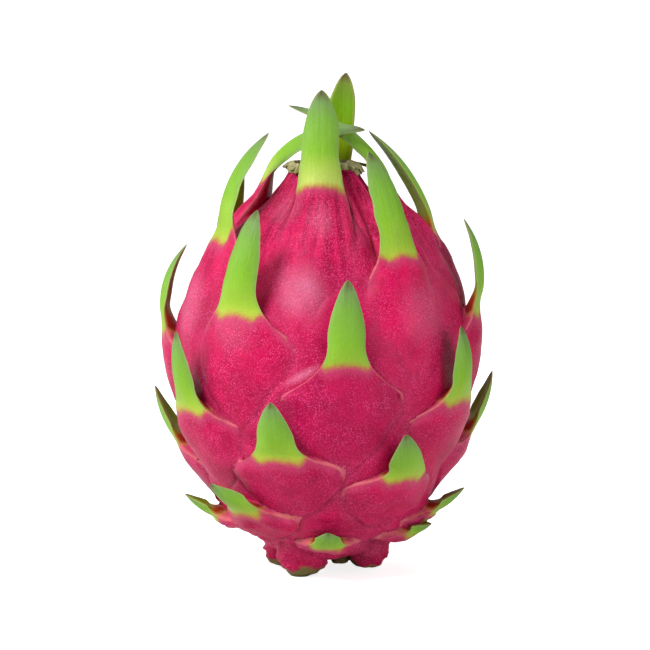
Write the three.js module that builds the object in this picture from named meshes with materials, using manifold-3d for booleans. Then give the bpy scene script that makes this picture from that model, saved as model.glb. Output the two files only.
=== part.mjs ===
// A whole red dragon fruit standing on its stem end, with its scales, dried flower collar and cut stem.
// Millimetres, +Z up. Azimuth 0 faces -Y and grows towards +X. The origin is under the middle of the fruit's
// box, level with the lobes that it stands on.
import * as THREE from "three";
import { ParametricGeometry } from "three/addons/geometries/ParametricGeometry.js";
import { mergeVertices } from "three/addons/utils/BufferGeometryUtils.js";
import Module from "manifold-3d";

const wasm = await Module();
wasm.setup();

// The bare skin between the scales: radius and height along one side, from the stem end up to the rim and
// into the navel.
const skinProfile = [
  [0, 6.2], [6, 5.8], [11.5, 5.6], [15.6, 7.2], [19.2, 10.4], [24.8, 14.4], [30, 20.5], [34.6, 29.5],
  [38.4, 39], [40.6, 50], [41.2, 61], [40, 71], [36.8, 79.5], [31.6, 88.5], [24.8, 96.5], [17.2, 103],
  [12.2, 108.4], [9.6, 112], [8.6, 112.9], [7.2, 112.2], [5, 109.4], [0, 108.2],
];
const skinRows = 28;
const skinColumns = 46;

// Waves round the fruit, each with how many there are, where they start in radians and how deep they are:
// broad lobes round the belly, others that twist with height, and pleats that gather the neck.
const belly = [[3, 1.1, 0.7]];
const twisting = [[2, 0, 0.42]];
const twistHeight = 15;
const neck = { from: 90, to: 111, pleats: [[6, 2.2, 1], [11, 3.6, 0.5]] };
const evenRadius = 14;

// How a scale grows at each height: blade length, angle from upright at its root and tip, half width of the
// blade, half width at the shield's side corners, how far the corners and the shield's lower point lie below
// the root, and how full the blade stays before its point.
const habitTerms = [
  "height", "length", "rootAngle", "tipAngle", "blade", "corner", "cornerDrop", "shieldDrop", "fullness",
];
const habit = [
  [8, 9, 82, 50, 5, 11, 2, 7, 1.2],
  [18, 12, 70, 34, 5, 13.5, 3.5, 12, 1.2],
  [30, 15, 50, 10, 5.2, 15.5, 4, 19, 1.2],
  [45, 19.5, 36, -6, 5, 17, 5, 26, 1.6],
  [60, 24, 26, -18, 5, 17.5, 6, 30, 1.8],
  [75, 28, 20, -34, 5, 16.5, 7, 32, 2],
  [92, 31, -4, -42, 5.1, 14, 10, 34, 2.2],
  [107, 29, -6, -14, 5.1, 12.5, 22, 40, 2.4],
].map((row) => Object.fromEntries(row.map((value, index) => [habitTerms[index], value])));

// What most scales share: the power that spreads a blade's curve along it, the share of its length over which
// it flares and the power of that flare, how much narrower it is at its root, and how far it turns about its
// own length, in degrees.
const usual = { bend: 1, flareReach: 0.36, flarePower: 2.6, waist: 0, twist: 0 };

// Every scale: azimuth in degrees, root height, sideways lean in degrees, and what differs from the habit.
const scales = [
  [-4, 106, 0, { length: 26.5, flarePower: 1.5 }],
  [92, 101.5, 0, { rootAngle: -14, tipAngle: -83, length: 43.3, blade: 4.6, bend: 0.95, twist: 16 }],
  [166, 104.5, -5, { tipAngle: -2, length: 32, blade: 5, corner: 5.2, waist: 0.5 }],
  [-114, 103, 0, { rootAngle: -1, tipAngle: -103, length: 42, bend: 0.69, twist: -26 }],
  [-68, 92, 0, {
    rootAngle: 6, tipAngle: -60, length: 34.5, blade: 5.8, corner: 17, flareReach: 0.62, twist: 11,
  }],
  [106, 91, 0, { rootAngle: -8, tipAngle: -58, length: 37.8, blade: 4.5, flareReach: 0.5 }],
  [37, 89, -7],
  [-130, 84, 0],
  [-34, 75, 10, { length: 29.5 }],
  [88, 73, 0, { tipAngle: -40 }],
  [-94, 68, 0, { rootAngle: 18, tipAngle: -50 }],
  [163, 76, 0],
  [7.5, 60.5, 0, { length: 26.5 }],
  [59, 52, -9, { tipAngle: -24 }],
  [-58, 49.5, 7, { length: 23 }],
  [150, 52, 0],
  [-100, 36, 0, { length: 19 }],
  [100, 39.5, 0, { length: 19 }],
  [-17, 39, 0],
  [-155, 42, 0],
  [34, 33, -21],
  [-41, 22.5, -21],
  [-86, 18, 0, { length: 11 }],
  [84, 19.5, 0, { length: 11 }],
  [172, 27, 0],
  [-130, 24, 0],
  [135, 24, 0],
  [2, 14, 0, { blade: 3.6, corner: 9.5, flareReach: 0.6, length: 8, tipAngle: 10 }],
  [68, 15, 0, { length: 6 }],
];

// How far the shield's middle and its margin stand over the skin, and how far its root reaches into the skin.
const shieldHeight = 4.3;
const marginHeight = 2.4;
const rootSink = 2.5;

// A blade's thickness at its middle and at its margins, and half the angle that its section curls through at
// the root, at its fullest and at the tip, in degrees.
const bladeThickness = 2.6;
const marginThickness = 0.7;
const curl = { root: 16, full: 52, tip: 34, fullFrom: 0.4, fullTo: 0.6 };

// The blade lifts off the skin between these shares of its length, and leans sideways up to the last share.
const lift = { from: -0.22, to: 0.25, leanTo: 0.4 };
const sectionSteps = 8;
const lengthSteps = 13;
const shieldShare = 3 / lengthSteps;
const flareShare = 7 / lengthSteps;

// Rounded lobes at the stem end that carry the fruit: azimuth in degrees, distance from the axis, half width,
// half depth, height, height of its flat underside over the surface that the fruit stands on, and how far the
// underside lies to one side of the lobe's middle. The outline gives each lobe's radius and height as shares.
const feet = [
  [-27, 10.8, 7.4, 7, 18, 0, -2],
  [72, 12.8, 6.4, 6.4, 17, 1.8, 0],
  [116, 12.6, 7, 6.6, 17.6, 0, 0],
  [-120, 11.8, 7.2, 6.6, 17.6, 0, 0],
];
const footOutline = [
  [0, 0], [0.34, 0], [0.62, 0.07], [0.86, 0.19], [0.98, 0.34], [1, 0.52], [0.84, 0.8], [0, 1],
];
const footColumns = 14;

// The cut stem stands off the fruit's axis, between the lobes and clear of the surface, in a socket round it.
const stem = { x: 4.4, y: -2, radius: 2.6, waist: 0.9, from: 2.4, to: 8.8, clearance: 0.3, columns: 14 };

// The dried collar of the flower round the navel: a thin crinkled band that flares over the neck.
const collar = { radius: 9.5, height: 114.3, halfWidth: 1.8, halfThickness: 0.55, droop: -0.42 };
const crinkles = [[5, 0.8, 1], [9, 2.1, 0.7], [14, 0, 0.5]];
const droops = [[3, 1.4, 0.24], [8, 0, 0.16]];
const collarColumns = 48;
const collarSides = 8;

const degree = Math.PI / 180;
const up = new THREE.Vector3(0, 0, 1);
const mix = (a, b, share) => a + (b - a) * share;
const clamp01 = (x) => Math.min(1, Math.max(0, x));
const smooth = (x) => clamp01(x) ** 2 * (3 - 2 * clamp01(x));

const sumOfWaves = (waves, angle) => (
  waves.reduce((sum, [count, start, depth]) => sum + depth * Math.sin(count * angle + start), 0)
);

const meridian = new THREE.SplineCurve(skinProfile.map((point) => new THREE.Vector2(...point)));
meridian.arcLengthDivisions = 1000;
const meridianLength = meridian.getLength();

// How far along the meridian the outer skin reaches a height.
function lengthAtHeight(height) {
  let low = 0;
  let high = 0.88 * meridianLength;
  for (let step = 0; step < 40; step++) {
    const middle = (low + high) / 2;
    if (meridian.getPointAt(middle / meridianLength).y < height) low = middle;
    else high = middle;
  }
  return low;
}

// How far the skin's waves lift it off its round form.
function undulation(azimuth, height, radius) {
  const gathered = smooth((height - neck.from) / (neck.to - neck.from));
  const lobes = sumOfWaves(belly, azimuth) + sumOfWaves(twisting, azimuth + height / (2 * twistHeight));
  return mix(lobes, sumOfWaves(neck.pleats, azimuth), gathered) * clamp01(radius / evenRadius);
}

// A point of the skin, and the outward normal and upward tangent there.
function skinAt(azimuth, along) {
  const share = clamp01(along / meridianLength);
  const point = meridian.getPointAt(share);
  const tangent = meridian.getTangentAt(share);
  const outward = new THREE.Vector3(Math.sin(azimuth), -Math.cos(azimuth), 0);
  const radius = point.x + undulation(azimuth, point.y, point.x);
  return {
    radius: point.x,
    position: outward.clone().multiplyScalar(radius).addScaledVector(up, point.y),
    normal: outward.clone().multiplyScalar(tangent.y).addScaledVector(up, -tangent.x),
    lean: Math.atan2(tangent.x, tangent.y),
  };
}

// The habit at a height, between its two nearest rows.
function habitAt(height) {
  const above = Math.max(1, habit.findIndex((row) => row.height >= height));
  const upper = habit[above];
  const lower = habit[above - 1];
  const share = clamp01((height - lower.height) / (upper.height - lower.height));
  return Object.fromEntries(Object.keys(lower).map((key) => [key, mix(lower[key], upper[key], share)]));
}

// Half the width of a scale at a distance from its root: a shield that narrows below, a flare and a blade.
function halfWidth(scale, distance) {
  const flareEnd = scale.flareReach * scale.length;
  if (distance < -scale.cornerDrop) {
    const share = (distance + scale.shieldDrop) / (scale.shieldDrop - scale.cornerDrop);
    return scale.corner * Math.sin((Math.PI / 2) * clamp01(share)) ** 0.85;
  }
  const narrowing = 1 - scale.waist * (1 - clamp01(distance / scale.length)) ** 2;
  if (distance < flareEnd) {
    const share = (distance + scale.cornerDrop) / (flareEnd + scale.cornerDrop);
    return narrowing * (scale.blade + (scale.corner - scale.blade) * (1 - share) ** scale.flarePower);
  }
  const share = clamp01((distance - flareEnd) / (scale.length - flareEnd));
  return narrowing * scale.blade * (1 - share ** scale.fullness) ** 0.9;
}

// The line that a blade follows as it leaves the skin, with its directions at each step.
function bladeLine(scale) {
  const steps = 60;
  const turnStart = lift.from * scale.length;
  const turnEnd = lift.to * scale.length;
  const start = skinAt(scale.azimuth, scale.rootLength + turnStart);
  const outward = new THREE.Vector3(Math.sin(scale.azimuth), -Math.cos(scale.azimuth), 0);
  const sideways = new THREE.Vector3(Math.cos(scale.azimuth), Math.sin(scale.azimuth), 0);
  const position = start.position.clone().addScaledVector(start.normal, centreHeight(scale, turnStart));
  const stride = (scale.length - turnStart) / steps;
  const line = [];
  for (let step = 0; step <= steps; step++) {
    const distance = turnStart + step * stride;
    const skinLean = skinAt(scale.azimuth, scale.rootLength + Math.min(distance, 0)).lean;
    const curved = clamp01(distance / scale.length) ** scale.bend;
    const bladeLean = degree * mix(scale.rootAngle, scale.tipAngle, curved);
    const lifted = smooth((distance - turnStart) / (turnEnd - turnStart));
    const angle = mix(skinLean, bladeLean, lifted);
    const leaning = smooth((distance - turnStart) / (lift.leanTo * scale.length - turnStart));
    const turn = degree * scale.lean * leaning;
    const ahead = outward.clone().multiplyScalar(Math.sin(angle)).addScaledVector(up, Math.cos(angle));
    const normal = outward.clone().multiplyScalar(Math.cos(angle)).addScaledVector(up, -Math.sin(angle));
    const direction = ahead.clone().multiplyScalar(Math.cos(turn)).addScaledVector(sideways, Math.sin(turn));
    const side = sideways.clone().multiplyScalar(Math.cos(turn)).addScaledVector(ahead, -Math.sin(turn));
    const twist = -degree * scale.twist * lifted;
    normal.applyAxisAngle(direction, twist);
    side.applyAxisAngle(direction, twist);
    line.push({ position: position.clone(), normal, side });
    position.addScaledVector(direction, stride);
  }
  return { line, turnStart, turnEnd, stride };
}

// Distance from the root at a share of the steps: along the shield, then the flare, then the blade.
function distanceAt(scale, share) {
  const flareEnd = scale.flareReach * scale.length;
  if (share < shieldShare) return mix(-scale.shieldDrop, -scale.cornerDrop, share / shieldShare);
  if (share < flareShare) {
    return mix(-scale.cornerDrop, flareEnd, (share - shieldShare) / (flareShare - shieldShare));
  }
  return mix(flareEnd, scale.length, (share - flareShare) / (1 - flareShare));
}

// Height of a shield's middle over the skin.
function centreHeight(scale, distance) {
  return shieldHeight * smooth((distance + scale.shieldDrop) / scale.shieldDrop);
}

// Half the angle that a blade's section curls through at a share of its length.
function cupAt(share) {
  const opening = mix(curl.root, curl.full, smooth(share / curl.fullFrom));
  return degree * mix(opening, curl.tip, smooth((share - curl.fullTo) / (1 - curl.fullTo)));
}

// One scale as a closed surface: round its section with around, and from the shield's lower point to the tip
// with along.
function scaleGeometry(scale) {
  const { line, turnStart, turnEnd, stride } = bladeLine(scale);
  const oneStep = 1 / sectionSteps;
  const surface = (around, along, target) => {
    const distance = distanceAt(scale, along);
    const round = around % 1;
    const outer = round <= 0.5;
    const inwards = (round - 0.5 - oneStep) / (0.5 - 2 * oneStep);
    const across = outer ? mix(-1, 1, round / 0.5) : mix(1, -1, inwards);
    const width = halfWidth(scale, distance);
    const skin = meridian.getPointAt(clamp01((scale.rootLength + distance) / meridianLength));
    const place = skinAt(scale.azimuth + (width * across) / Math.max(skin.x, 6), scale.rootLength + distance);
    const margin = mix(-0.5, marginHeight, smooth((distance + scale.cornerDrop) / scale.cornerDrop));
    const swell = 1 - Math.abs(across) ** 2.2;
    const raise = outer ? mix(margin, centreHeight(scale, distance), swell) : -rootSink;
    const onSkin = place.position.addScaledVector(place.normal, raise);
    const free = smooth((distance - turnStart) / (turnEnd - turnStart));
    if (free === 0) return target.copy(onSkin);
    const step = line[Math.min(line.length - 1, Math.round((distance - turnStart) / stride))];
    const share = clamp01(distance / scale.length);
    const cup = cupAt(share);
    const edge = marginThickness * (1 - share ** 6);
    const fullness = clamp01(1 - across ** 2) ** 0.7 * (1 - share ** 6);
    const thickness = mix(edge, bladeThickness * (1 - 0.5 * share), fullness);
    const reach = width / Math.sin(cup);
    const depth = outer ? 0 : thickness;
    const onBlade = step.position.clone()
      .addScaledVector(step.side, (reach - depth) * Math.sin(cup * across))
      .addScaledVector(step.normal, (reach - depth) * Math.cos(cup * across) - reach);
    target.lerpVectors(onSkin, onBlade, free);
  };
  return new ParametricGeometry(surface, sectionSteps, lengthSteps);
}

// A closed geometry as a solid, without the faces that its poles collapse.
function toSolid(geometry) {
  geometry.deleteAttribute("normal");
  geometry.deleteAttribute("uv");
  const merged = mergeVertices(geometry, 1e-3);
  const corners = [];
  for (let face = 0; face < merged.index.count; face += 3) {
    const [a, b, c] = [0, 1, 2].map((corner) => merged.index.getX(face + corner));
    if (a !== b && b !== c && a !== c) corners.push(a, b, c);
  }
  return new wasm.Manifold(new wasm.Mesh({
    numProp: 3,
    vertProperties: merged.attributes.position.array,
    triVerts: new Uint32Array(corners),
  }));
}

function toGeometry(solid) {
  const mesh = solid.getMesh();
  return new THREE.BufferGeometry()
    .setAttribute("position", new THREE.BufferAttribute(mesh.vertProperties, 3))
    .setIndex(new THREE.BufferAttribute(mesh.triVerts, 1));
}

function skinGeometry() {
  const geometry = new THREE.LatheGeometry(meridian.getSpacedPoints(skinRows), skinColumns);
  geometry.rotateX(Math.PI / 2);
  const position = geometry.attributes.position;
  for (let index = 0; index < position.count; index++) {
    const [x, y, z] = [position.getX(index), position.getY(index), position.getZ(index)];
    const radius = Math.hypot(x, y);
    if (radius < 1e-6) continue;
    const grown = (radius + undulation(Math.atan2(x, -y), z, radius)) / radius;
    position.setXY(index, x * grown, y * grown);
  }
  return geometry;
}

// One foot: a lobe with a small flat underside.
function footGeometry([azimuth, distance, halfWidth, halfDepth, height, underside, aside]) {
  const outline = footOutline.map((point) => new THREE.Vector2(...point));
  const geometry = new THREE.LatheGeometry(outline, footColumns).rotateX(Math.PI / 2);
  const position = geometry.attributes.position;
  for (let index = 0; index < position.count; index++) {
    const share = position.getZ(index);
    position.setX(index, position.getX(index) + (aside / halfWidth) * (1 - share) ** 2);
  }
  return geometry
    .scale(halfWidth, halfDepth, height)
    .translate(0, -distance, underside)
    .rotateZ(azimuth * degree);
}

// The stem's stub, or with a clearance the socket that it stands in.
function stemGeometry(clearance) {
  const radius = stem.radius + clearance;
  const from = stem.from - clearance;
  const to = stem.to + clearance;
  const waist = stem.waist * radius;
  const outline = [[0, from], [waist, from], [radius, from + 0.7], [waist, from + 2.6], [radius, to], [0, to]]
    .map((point) => new THREE.Vector2(...point));
  return new THREE.LatheGeometry(outline, stem.columns).rotateX(Math.PI / 2).translate(stem.x, stem.y, 0);
}

// The collar: round its section with around, and round the navel with along.
function collarGeometry() {
  const surface = (around, along, target) => {
    const azimuth = 2 * Math.PI * (along % 1);
    const section = -2 * Math.PI * (around % 1);
    const crinkle = sumOfWaves(crinkles, azimuth);
    const droop = collar.droop + sumOfWaves(droops, azimuth);
    const width = collar.halfWidth * (1 + 0.16 * crinkle) * Math.cos(section);
    const thickness = collar.halfThickness * Math.sin(section);
    const radius = collar.radius + width * Math.cos(droop) - thickness * Math.sin(droop);
    const height = collar.height + 0.12 * crinkle + width * Math.sin(droop) + thickness * Math.cos(droop);
    target.set(radius * Math.sin(azimuth), -radius * Math.cos(azimuth), height);
  };
  return new ParametricGeometry(surface, collarSides, collarColumns);
}

function makeFruit() {
  let solid = toSolid(skinGeometry());
  for (const [azimuth, height, lean, special] of scales) {
    const scale = { ...habitAt(height), ...usual, ...special, lean, azimuth: azimuth * degree };
    scale.rootLength = lengthAtHeight(height);
    solid = solid.add(toSolid(scaleGeometry(scale)));
  }
  for (const foot of feet) solid = solid.add(toSolid(footGeometry(foot)));
  return solid.subtract(toSolid(stemGeometry(stem.clearance)));
}

const looks = {
  fruit: { color: 0xc42a68, roughness: 0.45, metalness: 0 },
  dried_collar: { color: 0xa8a272, roughness: 0.85, metalness: 0 },
  cut_stem: { color: 0x6f7a45, roughness: 0.8, metalness: 0 },
};

function named(name, solid) {
  const mesh = new THREE.Mesh(toGeometry(solid), new THREE.MeshStandardMaterial(looks[name]));
  mesh.name = name;
  return mesh;
}

const group = new THREE.Group();
group.add(
  named("fruit", makeFruit()),
  named("dried_collar", toSolid(collarGeometry())),
  named("cut_stem", toSolid(stemGeometry(0))),
);
const middle = new THREE.Box3().setFromObject(group).getCenter(new THREE.Vector3());
group.position.set(-middle.x, -middle.y, 0);
export default group;
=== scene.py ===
import math
import bmesh
import bpy
import numpy as np
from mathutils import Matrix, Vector
from mathutils.bvhtree import BVHTree


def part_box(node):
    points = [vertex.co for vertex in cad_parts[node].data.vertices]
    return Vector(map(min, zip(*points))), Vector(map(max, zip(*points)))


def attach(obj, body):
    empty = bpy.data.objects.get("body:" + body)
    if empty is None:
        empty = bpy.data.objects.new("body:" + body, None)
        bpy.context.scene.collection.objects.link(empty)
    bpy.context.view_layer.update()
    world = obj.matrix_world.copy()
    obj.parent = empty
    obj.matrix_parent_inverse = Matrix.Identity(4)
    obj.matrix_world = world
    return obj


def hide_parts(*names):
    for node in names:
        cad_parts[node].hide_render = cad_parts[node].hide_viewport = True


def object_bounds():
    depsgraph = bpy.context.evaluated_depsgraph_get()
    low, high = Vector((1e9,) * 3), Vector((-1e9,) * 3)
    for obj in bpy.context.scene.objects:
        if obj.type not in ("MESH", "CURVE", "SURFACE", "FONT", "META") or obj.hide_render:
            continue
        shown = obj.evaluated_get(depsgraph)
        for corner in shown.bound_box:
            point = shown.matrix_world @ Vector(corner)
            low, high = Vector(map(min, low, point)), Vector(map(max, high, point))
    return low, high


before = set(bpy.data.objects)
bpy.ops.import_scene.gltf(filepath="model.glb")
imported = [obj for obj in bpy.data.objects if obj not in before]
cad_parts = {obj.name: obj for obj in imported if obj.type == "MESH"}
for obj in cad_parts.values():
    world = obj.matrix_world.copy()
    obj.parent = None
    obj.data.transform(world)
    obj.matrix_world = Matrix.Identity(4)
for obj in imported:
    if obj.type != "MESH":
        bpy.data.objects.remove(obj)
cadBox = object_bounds()
millimetre = 0.001
degree = math.pi / 180
scene = bpy.context.scene

# The fruit's axis stands beside the stem stub, as in the model. Shapes are in millimetres from that axis.
stemPlace = {"x": 4.4, "y": -2.0}
stemLow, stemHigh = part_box("cut_stem")
axisX = (stemLow.x + stemHigh.x) / 2 / millimetre - stemPlace["x"]
axisY = (stemLow.y + stemHigh.y) / 2 / millimetre - stemPlace["y"]


def mix(a, b, share):
    return a + (b - a) * share


def clamp01(x):
    return np.clip(x, 0.0, 1.0)


def smooth(x):
    x = clamp01(x)
    return x * x * (3 - 2 * x)


def toFrame(points):
    return (np.asarray(points) + [axisX, axisY, 0]) * millimetre


def sumOfWaves(waves, angle):
    return sum(depth * np.sin(count * angle + start) for count, start, depth in waves)


# Smooth noise from -1 to 1 at many points at once, from random values on a lattice.
lattice = np.random.default_rng(11).random((32, 32, 32)) * 2 - 1


def noiseAt(points, shift=0.0):
    points = np.asarray(points, float) + shift
    low = np.floor(points).astype(int)
    share = points - low
    share = share * share * (3 - 2 * share)
    total = 0
    for corner in np.ndindex(2, 2, 2):
        weight = np.prod(np.where(corner, share, 1 - share), axis=-1)
        cell = (low + corner) % 32
        total = total + weight * lattice[cell[..., 0], cell[..., 1], cell[..., 2]]
    return total


# The camera stands where the photograph was taken from: a long lens, a little above the fruit's middle.
camera = {"distance": 758, "lens": 150, "elevation": 6, "lookX": 0.28, "lookZ": 69.4}


def makeCamera():
    data = bpy.data.cameras.new("camera")
    data.lens = camera["lens"]
    data.clip_start = 0.01
    data.dof.use_dof = False
    holder = bpy.data.objects.new("camera", data)
    scene.collection.objects.link(holder)
    target = Vector(toFrame([camera["lookX"], 0, camera["lookZ"]]))
    lift = camera["elevation"] * degree
    away = Vector((0, -math.cos(lift), math.sin(lift))) * camera["distance"] * millimetre
    holder.location = target + away
    holder.rotation_euler = (-away).to_track_quat("-Z", "Y").to_euler()
    scene.camera = holder
    print("camera placed")


# A node tree with short ways to add and feed its nodes.
class Tree:
    def __init__(self, tree):
        self.tree = tree
        tree.nodes.clear()

    def add(self, kind, inputs=None, **settings):
        node = self.tree.nodes.new(kind)
        for name, value in settings.items():
            setattr(node, name, value)
        for name, value in (inputs or {}).items():
            self.feed(node, name, value)
        return node

    def feed(self, node, name, value):
        socket = node.inputs[name]
        if isinstance(value, bpy.types.NodeSocket):
            self.tree.links.new(value, socket)
        else:
            socket.default_value = value

    def math(self, operation, *values, clamp=False):
        node = self.add("ShaderNodeMath", operation=operation, use_clamp=clamp)
        for index, value in enumerate(values):
            self.feed(node, index, value)
        return node.outputs[0]

    def product(self, *values):
        result = values[0]
        for value in values[1:]:
            result = self.math("MULTIPLY", result, value)
        return result

    def sum(self, *values):
        result = values[0]
        for value in values[1:]:
            result = self.math("ADD", result, value)
        return result

    def range(self, value, low, high, toLow=0.0, toHigh=1.0):
        inputs = {"Value": value, "From Min": low, "From Max": high, "To Min": toLow, "To Max": toHigh}
        return self.add("ShaderNodeMapRange", inputs, interpolation_type="SMOOTHSTEP").outputs["Result"]

    def blend(self, factor, first, second, how="MIX"):
        node = self.add("ShaderNodeMix", data_type="RGBA", blend_type=how)
        for index, value in ((0, factor), (6, first), (7, second)):
            self.feed(node, index, value)
        return node.outputs[2]

    def noise(self, vector, scale, detail=2.0, roughness=0.5):
        inputs = {"Vector": vector, "Scale": scale, "Detail": detail, "Roughness": roughness}
        return self.add("ShaderNodeTexNoise", inputs).outputs["Fac"]

    def attribute(self, name):
        return self.add("ShaderNodeAttribute", attribute_name=name).outputs["Fac"]

    def vector(self, x, y, z):
        return self.add("ShaderNodeCombineXYZ", {"X": x, "Y": y, "Z": z}).outputs["Vector"]

    def parts(self, vector):
        return self.add("ShaderNodeSeparateXYZ", {"Vector": vector}).outputs

    def ramp(self, factor, stops):
        node = self.add("ShaderNodeValToRGB", {"Fac": factor})
        elements = node.color_ramp.elements
        while len(elements) < len(stops):
            elements.new(0.5)
        for element, (position, color) in zip(elements, stops):
            element.position = position
            element.color = color
        return node.outputs["Color"]

    def bump(self, height, strength, distance):
        inputs = {"Height": height, "Strength": strength, "Distance": distance}
        return self.add("ShaderNodeBump", inputs).outputs["Normal"]


# The light that a stored colour value of 0 to 255 stands for.
def linearValue(value):
    value = value / 255
    return value / 12.92 if value <= 0.04045 else ((value + 0.055) / 1.055) ** 2.4


def rgb(red, green, blue):
    return (linearValue(red), linearValue(green), linearValue(blue), 1.0)


def newMaterial(name):
    material = bpy.data.materials.new(name)
    material.use_nodes = True
    tree = Tree(material.node_tree)
    output = tree.add("ShaderNodeOutputMaterial")
    shader = tree.add("ShaderNodeBsdfPrincipled")
    tree.feed(output, "Surface", shader.outputs["BSDF"])
    place = tree.add("ShaderNodeTexCoord").outputs["Object"]
    return material, tree, shader, place


# Fine irregular colour that every grown surface here has: broad clouds, and small flecks that stand off it.
def makeMottleGroup():
    group = bpy.data.node_groups.new("mottle", "ShaderNodeTree")
    face = group.interface
    face.new_socket("Vector", in_out="INPUT", socket_type="NodeSocketVector")
    for name in ("Cloud Size", "Fleck Size", "Fleck Amount"):
        face.new_socket(name, in_out="INPUT", socket_type="NodeSocketFloat")
    for name in ("Clouds", "Flecks"):
        face.new_socket(name, in_out="OUTPUT", socket_type="NodeSocketFloat")
    tree = Tree(group)
    given = tree.add("NodeGroupInput").outputs
    cloudScale = tree.math("DIVIDE", 1.0, given["Cloud Size"])
    clouds = tree.range(tree.noise(given["Vector"], cloudScale, 3.0, 0.6), 0.3, 0.7)
    fleckScale = tree.math("DIVIDE", 1.0, given["Fleck Size"])
    cells = tree.add("ShaderNodeTexVoronoi", {"Vector": given["Vector"], "Scale": fleckScale})
    core = tree.range(cells.outputs["Distance"], 0.12, 0.42, 1.0, 0.0)
    lucky = tree.add("ShaderNodeSeparateColor", {"Color": cells.outputs["Color"]}).outputs["Red"]
    least = tree.math("SUBTRACT", 1.0, given["Fleck Amount"])
    chosen = tree.range(lucky, least, tree.math("ADD", least, 0.3))
    result = tree.add("NodeGroupOutput")
    tree.feed(result, "Clouds", clouds)
    tree.feed(result, "Flecks", tree.math("MULTIPLY", core, chosen))
    return group


mottle = makeMottleGroup()


def addMottle(tree, place, cloudSize, fleckSize, fleckAmount):
    node = tree.add("ShaderNodeGroup", node_tree=mottle)
    values = {"Vector": place, "Cloud Size": cloudSize, "Fleck Size": fleckSize, "Fleck Amount": fleckAmount}
    for name, value in values.items():
        tree.feed(node, name, value)
    return node.outputs["Clouds"], node.outputs["Flecks"]


# The skin between the scales: radius and height up one side and into the navel, the shares of that line
# between which it climbs the side, and the waves that lift the skin off its round form, each with how many
# there are, where they start and how deep they are.
skin = {
    "profile": [
        (0, 6.2), (6, 5.8), (11.5, 5.6), (15.6, 7.2), (19.2, 10.4), (24.8, 14.4), (30, 20.5), (34.6, 29.5),
        (38.4, 39), (40.6, 50), (41.2, 61), (40, 71), (36.8, 79.5), (31.6, 88.5), (24.8, 96.5), (17.2, 103),
        (12.2, 108.4), (9.6, 112), (8.6, 112.9), (7.2, 112.2), (5, 109.4), (0, 108.2),
    ],
    "climb": (0.06, 0.88),
    "rows": 170,
    "columns": 300,
    "belly": [(3, 1.1, 0.7)],
    "twisting": [(2, 0, 0.42)],
    "twistHeight": 15,
    "neckFrom": 90,
    "neckTo": 111,
    "pleats": [(6, 2.2, 1.0), (11, 3.6, 0.5), (17, 0.4, 0.24), (23, 1.9, 0.16)],
    "evenRadius": 14,
}


# A smooth line through points of radius and height, read by the length along it.
class Meridian:
    def __init__(self, profile, samples=6000):
        points = np.array(profile, float)
        last = len(points) - 1
        t = np.linspace(0, last, samples)
        left = np.minimum(t.astype(int), last - 1)
        share = (t - left)[:, None]
        before, start = points[np.maximum(left - 1, 0)], points[left]
        end, after = points[left + 1], points[np.minimum(left + 2, last)]
        slopeIn, slopeOut = (end - before) / 2, (after - start) / 2
        line = (2 * start - 2 * end + slopeIn + slopeOut) * share ** 3
        line = line + (3 * end - 3 * start - 2 * slopeIn - slopeOut) * share ** 2 + slopeIn * share + start
        steps = np.hypot(*np.diff(line, axis=0).T)
        self.along = np.concatenate([[0], np.cumsum(steps)])
        self.line = line
        self.length = self.along[-1]
        tangent = np.gradient(line, self.along, axis=0)
        self.tangent = tangent / np.hypot(*tangent.T)[:, None]

    def at(self, along):
        return [np.interp(along, self.along, self.line[:, k]) for k in (0, 1)]

    def tangentAt(self, along):
        radial, rise = [np.interp(along, self.along, self.tangent[:, k]) for k in (0, 1)]
        size = np.hypot(radial, rise)
        return radial / size, rise / size

    def lengthAtHeight(self, height):
        low, high = (share * self.length for share in skin["climb"])
        climbing = (self.along > low) & (self.along < high)
        return np.interp(height, self.line[climbing, 1], self.along[climbing])


meridian = Meridian(skin["profile"])


def undulation(azimuth, height, radius):
    gathered = smooth((height - skin["neckFrom"]) / (skin["neckTo"] - skin["neckFrom"]))
    lobes = sumOfWaves(skin["belly"], azimuth)
    lobes = lobes + sumOfWaves(skin["twisting"], azimuth + height / (2 * skin["twistHeight"]))
    return mix(lobes, sumOfWaves(skin["pleats"], azimuth), gathered) * clamp01(radius / skin["evenRadius"])


def skinAt(azimuth, along):
    radius, height = meridian.at(along)
    radial, rise = meridian.tangentAt(along)
    outward = np.stack([np.sin(azimuth), -np.cos(azimuth), 0 * azimuth], -1)
    grown = radius + undulation(azimuth, height, radius)
    position = outward * grown[..., None]
    position[..., 2] = height
    normal = outward * rise[..., None]
    normal[..., 2] = -radial
    return position, normal


def gridFaces(rows, columns):
    a = np.arange(rows - 1)[:, None] * columns
    b = np.arange(columns)[None, :]
    after = (b + 1) % columns
    quads = np.stack([a + b, a + after, a + columns + after, a + columns + b], -1).reshape(-1, 4)
    return np.concatenate([quads[:, [0, 1, 2]], quads[:, [0, 2, 3]]])


# A closed surface through rings of points with a point at each end, facing outwards.
def loftRings(rings, firstEnd, lastEnd):
    rows, columns = rings.shape[:2]
    vertices = np.concatenate([rings.reshape(rows * columns, -1), [firstEnd], [lastEnd]])
    b = np.arange(columns)
    after = (b + 1) % columns
    first = np.stack([np.full(columns, rows * columns), after, b], -1)
    top = (rows - 1) * columns
    last = np.stack([np.full(columns, rows * columns + 1), top + b, top + after], -1)
    return facingOut(vertices, np.concatenate([gridFaces(rows, columns), first, last]))


def facingOut(vertices, faces):
    a, b, c = (vertices[faces[:, k], :3] for k in range(3))
    volume = np.einsum("ij,ij->i", a, np.cross(b, c)).sum()
    return vertices, faces if volume > 0 else faces[:, ::-1]


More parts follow.
